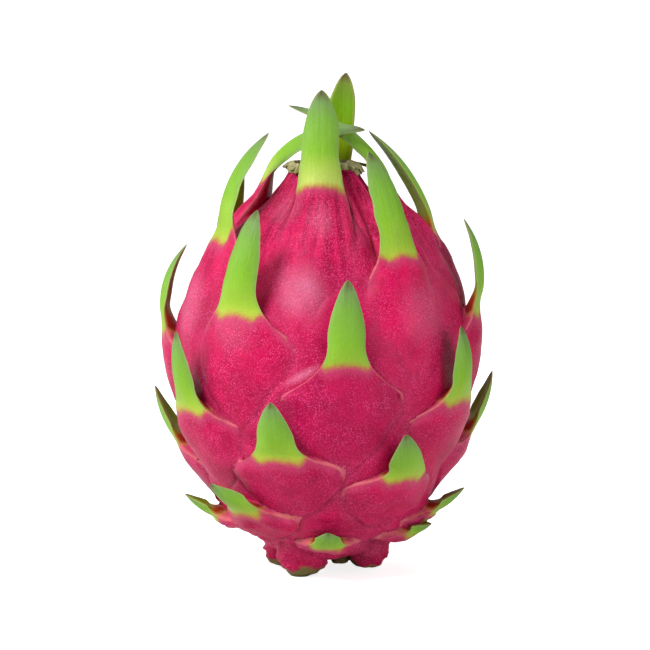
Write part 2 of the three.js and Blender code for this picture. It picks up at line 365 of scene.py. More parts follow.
def makePiece(name, vertices, faces):
    mesh = bpy.data.meshes.new(name)
    mesh.from_pydata(toFrame(vertices[:, :3]).tolist(), [], faces.tolist())
    mesh.update()
    piece = bpy.data.objects.new(name, mesh)
    scene.collection.objects.link(piece)
    return piece


# What each vertex carries beside its place: distance from the scale's root, distance from its middle line and
# from its margin, all in millimetres, 1 on the inner face, share of the blade's length, the scale's own tone,
# how far it is inside the green, and 1 on a lobe at the stem end.
carriedNames = [
    "bladeDistance", "bladeLateral", "marginGap", "innerFace",
    "bladeShare", "scaleTone", "greenDepth", "lobe",
]
bareSkin = [-60.0, 0.0, 9.0, 0.0, -2.0, 0.5, -60.0, 0.0]


def withCarried(position, *values):
    carried = [np.broadcast_to(value, position.shape[:2]) for value in values]
    return np.concatenate([position, np.stack(carried, -1)], -1)


def skinParts():
    along = np.linspace(0, meridian.length, skin["rows"] + 2)[1:-1]
    azimuth = np.linspace(0, 2 * math.pi, skin["columns"], endpoint=False)
    grid = np.meshgrid(along, azimuth, indexing="ij")
    position, _ = skinAt(grid[1], grid[0])
    low, high = skin["profile"][0], skin["profile"][-1]
    return loftRings(withCarried(position, *bareSkin), [0, 0, low[1], *bareSkin], [0, 0, high[1], *bareSkin])


# How a scale grows at each height, in millimetres and degrees, and the values that it has unless its own row
# says otherwise.
scaleHabit = {
    "terms": [
        "height", "length", "rootAngle", "tipAngle", "blade",
        "corner", "cornerDrop", "shieldDrop", "fullness",
    ],
    "rows": [
        (8, 9, 82, 50, 5, 11, 2, 7, 1.2),
        (18, 12, 70, 34, 5, 13.5, 3.5, 12, 1.2),
        (30, 15, 50, 10, 5.2, 15.5, 4, 19, 1.2),
        (45, 19.5, 36, -6, 5, 17, 5, 26, 1.6),
        (60, 24, 26, -18, 5, 17.5, 6, 30, 1.8),
        (75, 28, 20, -34, 5, 16.5, 7, 32, 2),
        (92, 31, -4, -42, 5.1, 14, 10, 34, 2.2),
        (107, 29, -6, -14, 5.1, 12.5, 22, 40, 2.4),
    ],
    "usual": {
        "bend": 1.0, "flareReach": 0.36, "flarePower": 2.6, "waist": 0.0, "twist": 0.0, "greenFrom": 0.0,
        "borderSize": 0.0,
    },
    "lift": (-0.22, 0.25),  # shares of the length between which a blade leaves the skin
    "leanTo": 0.4,
    "unevenWidth": 0.045,
    "unevenLength": 4,
    "leastHalfWidth": 0.14,
    "sectionPoints": 40,
    "stations": 50,
    "stationShares": (0.27, 0.3, 0.43),
    "firstStation": 0.2,
    "lastShare": 0.995,
    "lineSteps": 240,
}

# The shield: its heights over the skin, how round it is, and how uneven its lower margin.
shield = {
    "height": 4.3, "marginHeight": 2.4, "lowerMargin": (0.35, -0.35), "fadeHeights": (30, 95),
    "softness": 0.9, "uneven": 0.5, "unevenLength": 5, "rootSink": 2.5, "outlinePower": 0.85,
    "crownPower": 2.2, "leastRadius": 6,
}

# The blade: how thick it is, how far it is cupped at its root, over most of its length and at its tip, the
# groove down its middle, and how far it wanders to the side.
blade = {
    "thickness": 2.6, "tipThinner": 0.5, "marginThickness": 0.8, "leastThickness": 0.02, "pointPower": 0.7,
    "curlRoot": 16, "curlFull": 52, "curlTip": 34, "curlReach": 0.4, "closeFrom": 0.6,
    "grooveDepth": 0.16, "grooveWidth": 0.16, "wander": 0.35, "wanderLength": 9,
}

# Every scale: azimuth, root height, sideways lean, and what differs from the habit.
scales = [
    (-4, 106, 0, {"length": 26.5, "flarePower": 1.5, "greenFrom": 0.6, "borderSize": 1.3}),
    (92, 101.5, 0, {
        "rootAngle": -14, "tipAngle": -83, "length": 43.3, "blade": 4.6, "bend": 0.95, "twist": 16,
        "greenFrom": 6,
    }),
    (166, 104.5, -5, {
        "tipAngle": -2, "length": 32, "blade": 5, "corner": 5.2, "waist": 0.5, "greenFrom": 2,
    }),
    (-114, 103, 0, {
        "rootAngle": -1, "tipAngle": -103, "length": 42, "bend": 0.69, "twist": -26, "greenFrom": 5,
    }),
    (-68, 92, 0, {
        "rootAngle": 6, "tipAngle": -60, "length": 34.5, "blade": 5.8, "corner": 17, "flareReach": 0.62,
        "twist": 11,
    }),
    (106, 91, 0, {"rootAngle": -8, "tipAngle": -58, "length": 37.8, "blade": 4.5, "flareReach": 0.5}),
    (37, 89, -7, {}),
    (-130, 84, 0, {}),
    (-34, 75, 10, {"length": 29.5, "tone": 0.05}),
    (88, 73, 0, {"tipAngle": -40}),
    (-94, 68, 0, {"rootAngle": 18, "tipAngle": -50}),
    (163, 76, 0, {}),
    (7.5, 60.5, 0, {"length": 26.5, "greenFrom": 3.6, "tone": 0.95}),
    (59, 52, -9, {"tipAngle": -24}),
    (-58, 49.5, 7, {"length": 23}),
    (150, 52, 0, {}),
    (-100, 36, 0, {"length": 19}),
    (100, 39.5, 0, {"length": 19}),
    (-17, 39, 0, {}),
    (-155, 42, 0, {}),
    (34, 33, -21, {}),
    (-41, 22.5, -21, {}),
    (-86, 18, 0, {"length": 11}),
    (84, 19.5, 0, {"length": 11}),
    (172, 27, 0, {}),
    (-130, 24, 0, {}),
    (135, 24, 0, {}),
    (2, 14, 0, {"blade": 3.6, "corner": 9.5, "flareReach": 0.6, "length": 8, "tipAngle": 10}),
    (68, 15, 0, {"length": 6}),
]


def scaleAt(azimuth, height, lean, special):
    rows = np.array(scaleHabit["rows"], float)
    values = [np.interp(height, rows[:, 0], rows[:, k]) for k in range(rows.shape[1])]
    scale = dict(zip(scaleHabit["terms"], values))
    scale.update({"lean": lean, "azimuth": azimuth * degree}, **scaleHabit["usual"])
    scale.update(special)
    scale["rootLength"] = meridian.lengthAtHeight(height)
    return scale


def halfWidth(scale, distance):
    flareEnd = scale["flareReach"] * scale["length"]
    drop, corner, narrow = scale["cornerDrop"], scale["corner"], scale["blade"]
    below = clamp01((distance + scale["shieldDrop"]) / (scale["shieldDrop"] - drop))
    rounded = corner * np.sin(math.pi / 2 * below) ** shield["outlinePower"]
    opened = (1 - clamp01((distance + drop) / (flareEnd + drop))) ** scale["flarePower"]
    flare = narrow + (corner - narrow) * opened
    share = clamp01((distance - flareEnd) / (scale["length"] - flareEnd))
    point = narrow * (1 - share ** scale["fullness"]) ** blade["pointPower"]
    waisted = 1 - scale["waist"] * (1 - clamp01(distance / scale["length"])) ** 2
    return np.where(distance < -drop, rounded, np.where(distance < flareEnd, flare, point) * waisted)


# Where the green begins: an arch across the blade's root that thins to a line along the flare's margin.
greenBorder = {
    "archDepth": 2.6, "archWidth": 8.2, "archPower": 1.5, "thinFrom": 5.4, "thinReach": 3.8, "line": -1.1,
    "usualCorner": 17.5, "leastCorner": 11,
}


# How far a point of the scale is inside the green, below 0 where it is still pink.
def greenDepth(scale, distance, lateral):
    flareEnd = scale["flareReach"] * scale["length"]
    drop, corner, narrow = scale["cornerDrop"], scale["corner"], scale["blade"]
    out = clamp01((lateral - narrow) / (corner - narrow))
    marginAt = (1 - out ** (1 / scale["flarePower"])) * (flareEnd + drop) - drop
    size = scale["borderSize"] or max(corner, greenBorder["leastCorner"]) / greenBorder["usualCorner"]
    wide = lateral / size
    arch = greenBorder["archDepth"] * size * (wide / greenBorder["archWidth"]) ** greenBorder["archPower"]
    thinning = smooth((wide - greenBorder["thinFrom"]) / greenBorder["thinReach"])
    return distance - scale["greenFrom"] - mix(-arch, marginAt - greenBorder["line"], thinning)


def liftEnds(scale):
    return [share * scale["length"] for share in scaleHabit["lift"]]


# The line that a blade follows as it leaves the skin, with its outward and sideways directions.
def bladeLine(scale):
    turnStart, turnEnd = liftEnds(scale)
    distance = np.linspace(turnStart, scale["length"], scaleHabit["lineSteps"] + 1)
    radial, rise = meridian.tangentAt(scale["rootLength"] + np.minimum(distance, 0))
    curved = clamp01(distance / scale["length"]) ** scale["bend"]
    bladeLean = degree * mix(scale["rootAngle"], scale["tipAngle"], curved)
    lifting = smooth((distance - turnStart) / (turnEnd - turnStart))
    angle = mix(np.arctan2(radial, rise), bladeLean, lifting)[:, None]
    leaning = smooth((distance - turnStart) / (scaleHabit["leanTo"] * scale["length"] - turnStart))
    turn = (degree * scale["lean"] * leaning)[:, None]
    azimuth = scale["azimuth"]
    outward = np.array([math.sin(azimuth), -math.cos(azimuth), 0])
    sideways = np.array([math.cos(azimuth), math.sin(azimuth), 0])
    up = np.array([0, 0, 1.0])
    ahead = outward * np.sin(angle) + up * np.cos(angle)
    normal = outward * np.cos(angle) - up * np.sin(angle)
    direction = ahead * np.cos(turn) + sideways * np.sin(turn)
    side = sideways * np.cos(turn) - ahead * np.sin(turn)
    twist = (degree * scale["twist"] * lifting)[:, None]
    twistedNormal = normal * np.cos(twist) - side * np.sin(twist)
    twistedSide = side * np.cos(twist) + normal * np.sin(twist)
    start, startNormal = skinAt(np.array([azimuth]), np.array([scale["rootLength"] + turnStart]))
    start = start[0] + startNormal[0] * centreHeight(scale, turnStart)
    stride = (scale["length"] - turnStart) / scaleHabit["lineSteps"]
    travelled = np.concatenate([[[0, 0, 0]], np.cumsum(direction[:-1], axis=0)]) * stride
    return distance, start + travelled, twistedNormal, twistedSide


def centreHeight(scale, distance):
    return shield["height"] * smooth((distance + scale["shieldDrop"]) / scale["shieldDrop"])


def alongLine(line, values, distance):
    columns = [np.interp(distance, line, values[:, k]) for k in range(3)]
    return np.stack(columns, -1)[:, None, :]


def stationsOf(scale):
    flareEnd = scale["flareReach"] * scale["length"]
    first = scaleHabit["firstStation"] - scale["shieldDrop"]
    stops = [first, -scale["cornerDrop"], flareEnd, scale["length"] * scaleHabit["lastShare"]]
    counts = [round(scaleHabit["stations"] * share) for share in scaleHabit["stationShares"]]
    runs = [np.linspace(a, b, n, endpoint=False) for a, b, n in zip(stops, stops[1:], counts)]
    return np.concatenate([*runs, [stops[-1]]])


# Noise at two of a scale's own coordinates, which its tone sets apart from every other scale's.
def unevenAt(tone, first, second):
    return noiseAt(np.stack(np.broadcast_arrays(first, second, 30 * tone), -1))


# The scale where it lies on the skin: its outer face swells and its inner face is sunk.
def shieldFaces(scale, tone, distance, across, outer, width):
    along = scale["rootLength"] + distance
    radius, _ = meridian.at(np.minimum(along, meridian.length))
    azimuth = scale["azimuth"] + width * across / np.maximum(radius, shield["leastRadius"])
    place, normal = skinAt(azimuth, np.broadcast_to(along, azimuth.shape))
    raising = smooth((distance + scale["cornerDrop"]) / scale["cornerDrop"])
    low, high = shield["fadeHeights"]
    fading = clamp01((scale["height"] - low) / (high - low))
    uneven = shield["uneven"] * unevenAt(tone, distance / shield["unevenLength"], across)
    margin = mix(mix(*shield["lowerMargin"], fading) + uneven, shield["marginHeight"], raising)
    softness = 1 + shield["softness"] * fading * (1 - raising)
    swell = (1 - np.abs(across) ** shield["crownPower"]) ** softness
    sunk = margin - (margin + shield["rootSink"]) * np.sqrt(clamp01(1 - across ** 2))
    raised = np.where(outer, mix(margin, centreHeight(scale, distance), swell), sunk)
    return place + normal * raised[..., None]


# The scale where it is free of the skin: a thin blade, cupped round the line that it follows.
def bladeFaces(scale, tone, distance, across, outer, width):
    share = clamp01(distance / scale["length"])
    line, spine, spineNormal, side = bladeLine(scale)
    opening = mix(blade["curlRoot"], blade["curlFull"], smooth(share / blade["curlReach"]))
    closed = smooth((share - blade["closeFrom"]) / blade["curlReach"])
    cup = degree * mix(opening, blade["curlTip"], closed)
    closing = 1 - share ** 9
    middle = clamp01(1 - across ** 2) ** 0.7 * closing
    edge = blade["marginThickness"] * closing * clamp01(1 - across ** 8) ** 0.5
    extra = blade["thickness"] * (1 - blade["tipThinner"] * share) - blade["marginThickness"]
    thickness = np.maximum(edge + extra * middle, blade["leastThickness"])
    groove = blade["grooveDepth"] * np.exp(-(across / blade["grooveWidth"]) ** 2) * smooth(share * 2.5)
    depth = np.where(outer, groove, thickness)
    reach = width / np.sin(cup)
    here = distance[:, 0]
    wander = blade["wander"] * unevenAt(tone, here / blade["wanderLength"], 5)
    wander = (wander * smooth(here / scale["length"] * 3))[:, None, None]
    sideAt = alongLine(line, side, here)
    middleLine = alongLine(line, spine, here) + sideAt * wander
    aside = (reach - depth) * np.sin(cup * across)
    sunk = (reach - depth) * np.cos(cup * across) - reach
    return middleLine + sideAt * aside[..., None] + alongLine(line, spineNormal, here) * sunk[..., None]


# One scale: a shield on the skin that flares into a cupped blade and leaves it.
def scaleParts(scale, tone):
    distance = stationsOf(scale)[:, None]
    turn = np.linspace(0, 2 * math.pi, scaleHabit["sectionPoints"], endpoint=False)[None, :]
    across = -np.cos(turn)
    outer = np.broadcast_to(turn <= math.pi, (len(distance), turn.shape[1]))
    share = distance / scale["length"]
    uneven = scaleHabit["unevenWidth"] * unevenAt(tone, distance / scaleHabit["unevenLength"], 0)
    uneven = uneven * smooth(share * 5)
    width = np.maximum(halfWidth(scale, distance) * (1 + uneven), scaleHabit["leastHalfWidth"])
    onSkin = shieldFaces(scale, tone, distance, across, outer, width)
    onBlade = bladeFaces(scale, tone, distance, across, outer, width)
    turnStart, turnEnd = liftEnds(scale)
    free = smooth((distance - turnStart) / (turnEnd - turnStart))[..., None]
    gap = width * (1 - np.abs(across))
    green = greenDepth(scale, distance, width * np.abs(across))
    isInner = np.where(outer, 0.0, 1.0)
    rings = withCarried(
        mix(onSkin, onBlade, free), distance, width * across, gap, isInner, share, tone, green, 0.0,
    )
    return loftRings(rings, rings[0].mean(0), rings[-1].mean(0))


# Lobes at the stem end: azimuth, distance from the axis, half width, half depth, height, height of the flat
# underside, and how far the underside lies to one side. The outline gives radius and height as shares.
lobes = {
    "places": [
        (-27, 10.8, 7.4, 7, 18, 0, -2),
        (72, 12.8, 6.4, 6.4, 17, 1.8, 0),
        (116, 12.6, 7, 6.6, 17.6, 0, 0),
        (-120, 11.8, 7.2, 6.6, 17.6, 0, 0),
    ],
    "outline": [(0.34, 0), (0.62, 0.07), (0.86, 0.19), (0.98, 0.34), (1, 0.52), (0.84, 0.8), (0, 1)],
    "lastShare": 0.995,
    "rows": 40,
    "columns": 60,
}


def lobeParts(azimuthDegrees, away, halfAcross, halfDepth, height, underside, aside):
    outline = Meridian(lobes["outline"], 600)
    share, rise = outline.at(np.linspace(0, outline.length * lobes["lastShare"], lobes["rows"])[:, None])
    turn = np.linspace(0, 2 * math.pi, lobes["columns"], endpoint=False)[None, :]
    x = halfAcross * share * np.cos(turn) + aside * (1 - rise) ** 2
    y = halfDepth * share * np.sin(turn) - away
    z = np.maximum(height * rise, 0) + underside + 0 * turn
    azimuth = azimuthDegrees * degree
    turnedX = x * math.cos(azimuth) - y * math.sin(azimuth)
    turnedY = x * math.sin(azimuth) + y * math.cos(azimuth)
    rings = withCarried(np.stack([turnedX, turnedY, z], -1), *bareSkin[:-1], 1.0)
    return loftRings(rings, rings[0].mean(0), rings[-1].mean(0))


# How the parts are welded, and how far from a crease the surface is rounded: least at a sharp one, more where
# the parts run into each other or near the stem end. Two widths set the painted shade in a crease and the
# painted sheen beside it.
joint = {
    "weld": 0.05, "filletReach": 1.5, "softReach": 3.4, "baseHeight": 17, "baseBlend": 4,
    "evenBend": 0.02, "sharpBend": 0.12, "spreadSteps": 14, "spreadShare": 0.95, "farAway": 99.0,
    "passes": 14, "smoothing": 0.6, "creaseWidth": 0.9, "sheenWidth": 2.4, "boxMargin": 0.02,
}

# Uneven flesh over the joined surface: how big the folds are, in millimetres, how deep, and over what height
# they fade in. Finer folds go over the coarse ones at the base and on the neck.
folds = {
    "broadSize": 8.0, "broadDepth": 0.6,
    "baseSize": (6.0, 6.0, 1.35), "baseFiner": 2.1, "baseDepth": 0.85, "baseHeight": 25, "baseFade": 10,
    "footFade": 3, "floorFade": 1.2,
    "neckRound": 7.0, "neckTall": 16.0, "neckFiner": 2.3, "neckDepth": 0.4, "neckHeight": 84, "neckFade": 12,
    "neckTop": 113, "neckTopFade": 3, "neckGroove": 0.7, "neckGrooveWidth": 0.1,
    "fineSize": 1.6, "fineDepth": 0.08, "creaseDepth": -0.3, "creaseWidth": 0.7,
    "bladeFrom": 3, "bladeFade": 5,
}

# Deep grooves down the neck: azimuth and height at the upper and at the lower end, depth and half width. The
# other values are shares of a groove's height, over which it fades out at its ends.
neckCreases = {
    "places": [(44, 109, 27, 87, 2.0, 1.2), (62, 107, 50, 90, 1.1, 1.0), (-34, 110, -30, 96, 0.8, 0.9)],
    "lowerFade": 0.3, "upperEnd": 1.1, "upperFade": 0.25,
}


def neckCreaseDepth(place):
    azimuth = np.arctan2(place[:, 0] - axisX, axisY - place[:, 1]) / degree
    radius = np.hypot(place[:, 0] - axisX, place[:, 1] - axisY)
    total = 0
    for upperAzimuth, upperHeight, lowerAzimuth, lowerHeight, depth, width in neckCreases["places"]:
        share = (place[:, 2] - lowerHeight) / (upperHeight - lowerHeight)
        aside = (azimuth - mix(lowerAzimuth, upperAzimuth, share)) * degree * radius
        upperEnd = smooth((neckCreases["upperEnd"] - share) / neckCreases["upperFade"])
        ends = smooth(share / neckCreases["lowerFade"]) * upperEnd
        total = total + depth * np.exp(-(aside / width) ** 2) * ends
    return total


def makeFruit():
    parts = [skinParts()]
    tones = np.random.default_rng(7).random(len(scales))
    for values, tone in zip(scales, tones):
        scale = scaleAt(*values)
        parts.append(scaleParts(scale, scale.get("tone", tone)))
    parts += [lobeParts(*place) for place in lobes["places"]]
    pieces = [makePiece(f"part{index}", *part) for index, part in enumerate(parts)]
    gathered = bpy.data.collections.new("scaleParts")
    for piece in pieces[1:]:
        gathered.objects.link(piece)
    union = pieces[0].modifiers.new("join", "BOOLEAN")
    union.operation = "UNION"
    union.operand_type = "COLLECTION"
    union.collection = gathered
    union.solver = "MANIFOLD"
    evaluated = pieces[0].evaluated_get(bpy.context.evaluated_depsgraph_get())
    mesh = bpy.data.meshes.new_from_object(evaluated)
    for piece in pieces:
        bpy.data.objects.remove(piece)
    bpy.data.collections.remove(gathered)
    print("fruit joined:", len(mesh.polygons), "faces")
    cleanMesh(mesh)
    shapeJoined(mesh, parts)
    fruit = bpy.data.objects.new("scaledFruit", mesh)
    scene.collection.objects.link(fruit)
    mesh.shade_smooth()
    print("fruit shaped:", len(mesh.polygons), "faces")
    return fruit


def cleanMesh(mesh):
    work = bmesh.new()
    work.from_mesh(mesh)
    bmesh.ops.remove_doubles(work, verts=work.verts, dist=joint["weld"] * millimetre)
    bmesh.ops.dissolve_degenerate(work, edges=work.edges, dist=joint["weld"] * millimetre)
    bmesh.ops.triangulate(work, faces=work.faces)
    work.to_mesh(mesh)
    work.free()
    mesh.update()


def readArray(items, name, width, kind=float):
    flat = np.empty(len(items) * width, kind)
    items.foreach_get(name, flat)
    return flat.reshape(-1, width)


def neighbourMean(values, edges, count):
    total = np.zeros_like(values)
    for k in range(values.shape[1]):
        total[:, k] += np.bincount(edges[:, 0], values[edges[:, 1], k], count)
        total[:, k] += np.bincount(edges[:, 1], values[edges[:, 0], k], count)
    number = np.bincount(edges.ravel(), minlength=count)
    return total / np.maximum(number, 1)[:, None]


# What every vertex carries, read from the nearest point of the parts before they were joined.
def sourceAttributes(vertices, source, faces, finder):
    found = [finder.find_nearest(vertex)[::2] for vertex in vertices.tolist()]
    spot = np.array([place for place, _ in found])
    face = faces[[index for _, index in found]]
    places = toFrame(source[:, :3])
    a, b, c = (places[face[:, k]] for k in range(3))
    areas = [np.linalg.norm(np.cross(q - p, spot - p), axis=1) for p, q in ((b, c), (c, a), (a, b))]
    weights = np.stack(areas, -1) + 1e-15
    weights /= weights.sum(1, keepdims=True)
    return (source[face][:, :, 3:] * weights[:, :, None]).sum(1)


# How far every vertex lies from the nearest crease where two parts meet, along the surface.
def distanceFromCreases(vertices, corners, edges, owner, finder):
    centres = vertices[corners].mean(1)
    ownerOfFace = owner[[finder.find_nearest(centre)[2] for centre in centres.tolist()]]
    count = len(vertices)
    lowest, highest = np.full(count, owner.max()), np.zeros(count, int)
    for k in range(3):
        np.minimum.at(lowest, corners[:, k], ownerOfFace)
        np.maximum.at(highest, corners[:, k], ownerOfFace)
    lengths = np.linalg.norm(vertices[edges[:, 0]] - vertices[edges[:, 1]], axis=1) / millimetre
    away = np.where(lowest == highest, joint["farAway"], 0.0)
    for _ in range(joint["spreadSteps"]):
        np.minimum.at(away, edges[:, 0], away[edges[:, 1]] + lengths)
        np.minimum.at(away, edges[:, 1], away[edges[:, 0]] + lengths)
    return away


def unitRows(rows):
    return rows / np.maximum(np.linalg.norm(rows, axis=1, keepdims=True), 1e-20)


def faceNormals(vertices, corners):
    a, b, c = (vertices[corners[:, k]] for k in range(3))
    return np.cross(b - a, c - a)


def summedAtVertices(values, corners, count):
    total = np.zeros((count, 3))
    for k in range(3):
        for axis in range(3):
            total[:, axis] += np.bincount(corners[:, k], values[:, axis], count)
    return total


def vertexNormals(vertices, corners):
    return unitRows(summedAtVertices(faceNormals(vertices, corners), corners, len(vertices)))


# How sharply the surface turns at the nearest crease: 0 where the parts run into each other, 1 in a notch.
def creaseSharpness(vertices, corners, edges, away):
    total = summedAtVertices(unitRows(faceNormals(vertices, corners)), corners, len(vertices))
    number = np.bincount(corners.ravel(), minlength=len(vertices))
    bent = 1 - np.linalg.norm(total, axis=1) / np.maximum(number, 1)
    sharpness = np.where(away == 0, smooth((bent - joint["evenBend"]) / joint["sharpBend"]), 0.0)
    for _ in range(joint["spreadSteps"]):
        np.maximum.at(sharpness, edges[:, 0], sharpness[edges[:, 1]] * joint["spreadShare"])
        np.maximum.at(sharpness, edges[:, 1], sharpness[edges[:, 0]] * joint["spreadShare"])
    return sharpness


# Gives the joined surface its attributes, rounds the creases between its parts and folds the flesh.
def shapeJoined(mesh, parts):
    offsets = np.cumsum([0] + [len(vertices) for vertices, _ in parts])
    source = np.concatenate([vertices for vertices, _ in parts])
    faces = np.concatenate([part[1] + offset for part, offset in zip(parts, offsets)])
    owner = np.concatenate([np.full(len(part[1]), index) for index, part in enumerate(parts)])
    finder = BVHTree.FromPolygons(toFrame(source[:, :3]).tolist(), faces.tolist())
    vertices = readArray(mesh.vertices, "co", 3)
    corners = readArray(mesh.polygons, "vertices", 3, int)
    edges = readArray(mesh.edges, "vertices", 2, int)
    carried = sourceAttributes(vertices, source, faces, finder)
    away = distanceFromCreases(vertices, corners, edges, owner, finder)
    height = vertices[:, 2] / millimetre
    sharpness = creaseSharpness(vertices, corners, edges, away)
    softened = np.maximum(smooth((joint["baseHeight"] - height) / joint["baseBlend"]), 1 - sharpness)
    reach = mix(joint["filletReach"], joint["softReach"], softened)
    weight = (smooth(1 - away / reach) * joint["smoothing"])[:, None]
    for _ in range(joint["passes"]):
        vertices = vertices + (neighbourMean(vertices, edges, len(vertices)) - vertices) * weight
    vertices = foldFlesh(vertices, corners, carried, away, sharpness)
    margin = joint["boxMargin"] * millimetre
    vertices = np.clip(vertices, np.array(cadBox[0]) + margin, np.array(cadBox[1]) - margin)
    mesh.vertices.foreach_set("co", vertices.ravel())
    mesh.update()
    # Masks for painted light: painted shade right in the sharper creases, and a painted sheen on the flesh
    # beside them.
    narrow = np.exp(-(away / joint["creaseWidth"]) ** 2) * sharpness
    wide = np.exp(-(away / joint["sheenWidth"]) ** 2) * sharpness
    columns = np.concatenate([carried, narrow[:, None], wide[:, None]], 1)
    for name, values in zip([*carriedNames, "creaseShade", "sheenBesideCrease"], columns.T):
        layer = mesh.attributes.new(name, "FLOAT", "POINT")
        layer.data.foreach_set("value", values.astype(np.float32))


# Noise with finer noise half as strong over it, each from its own part of the lattice.
def doubledNoise(place, finer, shift, finerShift):
    return noiseAt(place, shift) + 0.5 * noiseAt(place * finer, finerShift)


# Moves the flesh, but not the blades, in and out along its normals.
def foldFlesh(vertices, corners, carried, away, sharpness):
    place = vertices / millimetre
    height = place[:, 2]
    flesh = 1 - smooth((carried[:, 0] + folds["bladeFrom"]) / folds["bladeFade"])
    broad = noiseAt(place / folds["broadSize"]) * folds["broadDepth"]
    base = doubledNoise(place / folds["baseSize"], folds["baseFiner"], 7, 3) * folds["baseDepth"]
    base = base * smooth((folds["baseHeight"] - height) / folds["baseFade"])
    base = base * smooth(height / folds["footFade"])
    around = unitRows(place[:, :2] - [axisX, axisY]) * folds["neckRound"]
    pleated = np.concatenate([around, height[:, None] / folds["neckTall"]], 1)
    neck = doubledNoise(pleated, folds["neckFiner"], 13, 5) * folds["neckDepth"]
    neck = neck - folds["neckGroove"] * np.exp(-(noiseAt(pleated, 21) / folds["neckGrooveWidth"]) ** 2)
    neck = neck * smooth((height - folds["neckHeight"]) / folds["neckFade"])
    neck = neck * smooth((folds["neckTop"] - height) / folds["neckTopFade"])
    neck = neck - neckCreaseDepth(place)
    fine = noiseAt(place / folds["fineSize"], 17) * folds["fineDepth"]
    grooves = folds["creaseDepth"] * np.exp(-(away / folds["creaseWidth"]) ** 2) * sharpness
    offset = (broad + base + neck + fine + grooves) * flesh * smooth(height / folds["floorFade"])
    return vertices + vertexNormals(vertices, corners) * (offset * millimetre)[:, None]


# The flesh's own colours, and three of painted light: a dark painted shade in the creases, a pale painted
# sheen beside them and a pale painted highlight.
fleshColors = {
    "deep": rgb(160, 0, 56), "full": rgb(204, 0, 76), "dull": rgb(150, 4, 62), "rosy": rgb(220, 12, 92),
    "fleck": rgb(244, 88, 156), "creaseShade": rgb(112, 0, 34), "ridgeSheen": rgb(232, 88, 136),
    "vein": rgb(226, 40, 92), "streak": rgb(136, 2, 38), "mauve": rgb(190, 64, 104),
    "olive": rgb(176, 124, 62), "highlightPaint": rgb(244, 150, 188), "margin": rgb(230, 130, 130),
    "underside": rgb(104, 122, 58),
}

# How strongly each of them shows, and the sizes of the skin's clouds, patches and flecks, in metres.
fleshLook = {
    "cloudSize": 0.02, "patchSize": 0.0055, "fleckSize": 0.0005, "dotSize": 0.00036, "fleckAmount": 0.95,
    "dots": 0.7, "dull": 0.7, "rosy": 0.3, "vein": 0.7, "streak": 0.75, "ridgeSheen": 0.16, "fleck": 0.9,
    "mauve": 0.75, "margin": 0.35, "underside": 0.85, "neck": (0.076, 0.098),
    "roughness": (0.35, 0.42), "specular": 0.13, "relief": 0.38, "reliefDepth": 0.0003,
    "subsurface": 0.06, "subsurfaceRadius": (0.003, 0.001, 0.0007),
}

# The outer and the inner face of a blade, from its root to its tip, and what lies over the outer one.
bladeColors = [
    (0.0, rgb(168, 186, 58)), (0.1, rgb(146, 184, 46)), (0.36, rgb(124, 174, 40)), (0.7, rgb(112, 158, 56)),
    (0.87, rgb(106, 138, 76)), (0.935, rgb(90, 92, 56)), (0.97, rgb(64, 46, 33)), (1.0, rgb(52, 36, 28)),
]
innerColors = [
    (0.0, rgb(122, 6, 22)), (0.14, rgb(150, 50, 18)), (0.24, rgb(128, 154, 8)), (0.7, rgb(104, 150, 12)),
    (0.9, rgb(104, 128, 40)), (0.97, rgb(88, 72, 40)), (1.0, rgb(52, 36, 28)),
]
bladeTints = {
    "fibre": rgb(150, 196, 96), "paleRoot": rgb(206, 214, 118), "rim": rgb(118, 158, 92),
    "edge": rgb(190, 176, 104),
}


# Coordinates that follow the fruit's sides up to the collar, so that streaks run together there.
def aroundAxis(tree, place, perTurn, perMetre):
    parts = tree.parts(place)
    x = tree.math("SUBTRACT", parts["X"], axisX * millimetre)
    y = tree.math("SUBTRACT", parts["Y"], axisY * millimetre)
    unit = tree.add("ShaderNodeVectorMath", {0: tree.vector(x, y, 0.0)}, operation="NORMALIZE")
    turned = tree.parts(unit.outputs["Vector"])
    lifted = tree.product(parts["Z"], perMetre)
    return tree.vector(tree.product(turned["X"], perTurn), tree.product(turned["Y"], perTurn), lifted)


# Painted highlights and sheen on the front, pale patches where the lamps shine off the skin: middle in x and
# z, half length, half height, tilt in degrees and strength.
# Each is full in its inner share, and they fade out round the sides, between the y values, in metres.
paintedHighlights = {
    "places": [
        (-6.5, 82.0, 9.5, 9.0, 0, 0.4), (-5.6, 60.3, 7.5, 1.8, 30, 0.5), (27.0, 76.0, 8.0, 12.0, 0, 0.2),
        (-10.5, 103.5, 7.0, 5.5, 35, 0.2), (-1.0, 100.5, 5.0, 7.0, 0, 0.2),
        (-37.0, 77.0, 5.0, 14.0, -12, 0.3), (-24.0, 71.0, 8.0, 9.0, 0, 0.12), (13.0, 8.0, 8.0, 7.0, 0, 0.12),
    ],
    "innerShare": 0.15,
    "front": (0.0, -0.012),
}


def paintedHighlightMask(tree, place):
    parts = tree.parts(place)
    result = 0.0
    for x, z, long, tall, tilt, strength in paintedHighlights["places"]:
        across = tree.math("SUBTRACT", parts["X"], x * millimetre)
        rise = tree.math("SUBTRACT", parts["Z"], z * millimetre)
        cosine, sine = math.cos(tilt * degree), math.sin(tilt * degree)
        along = tree.sum(tree.product(across, cosine), tree.product(rise, sine))
        over = tree.math("SUBTRACT", tree.product(rise, cosine), tree.product(across, sine))
        along = tree.product(along, 1 / (long * millimetre))
        over = tree.product(over, 1 / (tall * millimetre))
        ellipse = {0: tree.vector(along, over, 0.0)}
        away = tree.add("ShaderNodeVectorMath", ellipse, operation="LENGTH").outputs["Value"]
        result = tree.math("MAXIMUM", result, tree.range(away, 1.0, paintedHighlights["innerShare"], 0.0, strength))
    return tree.product(result, tree.range(parts["Y"], *paintedHighlights["front"]))
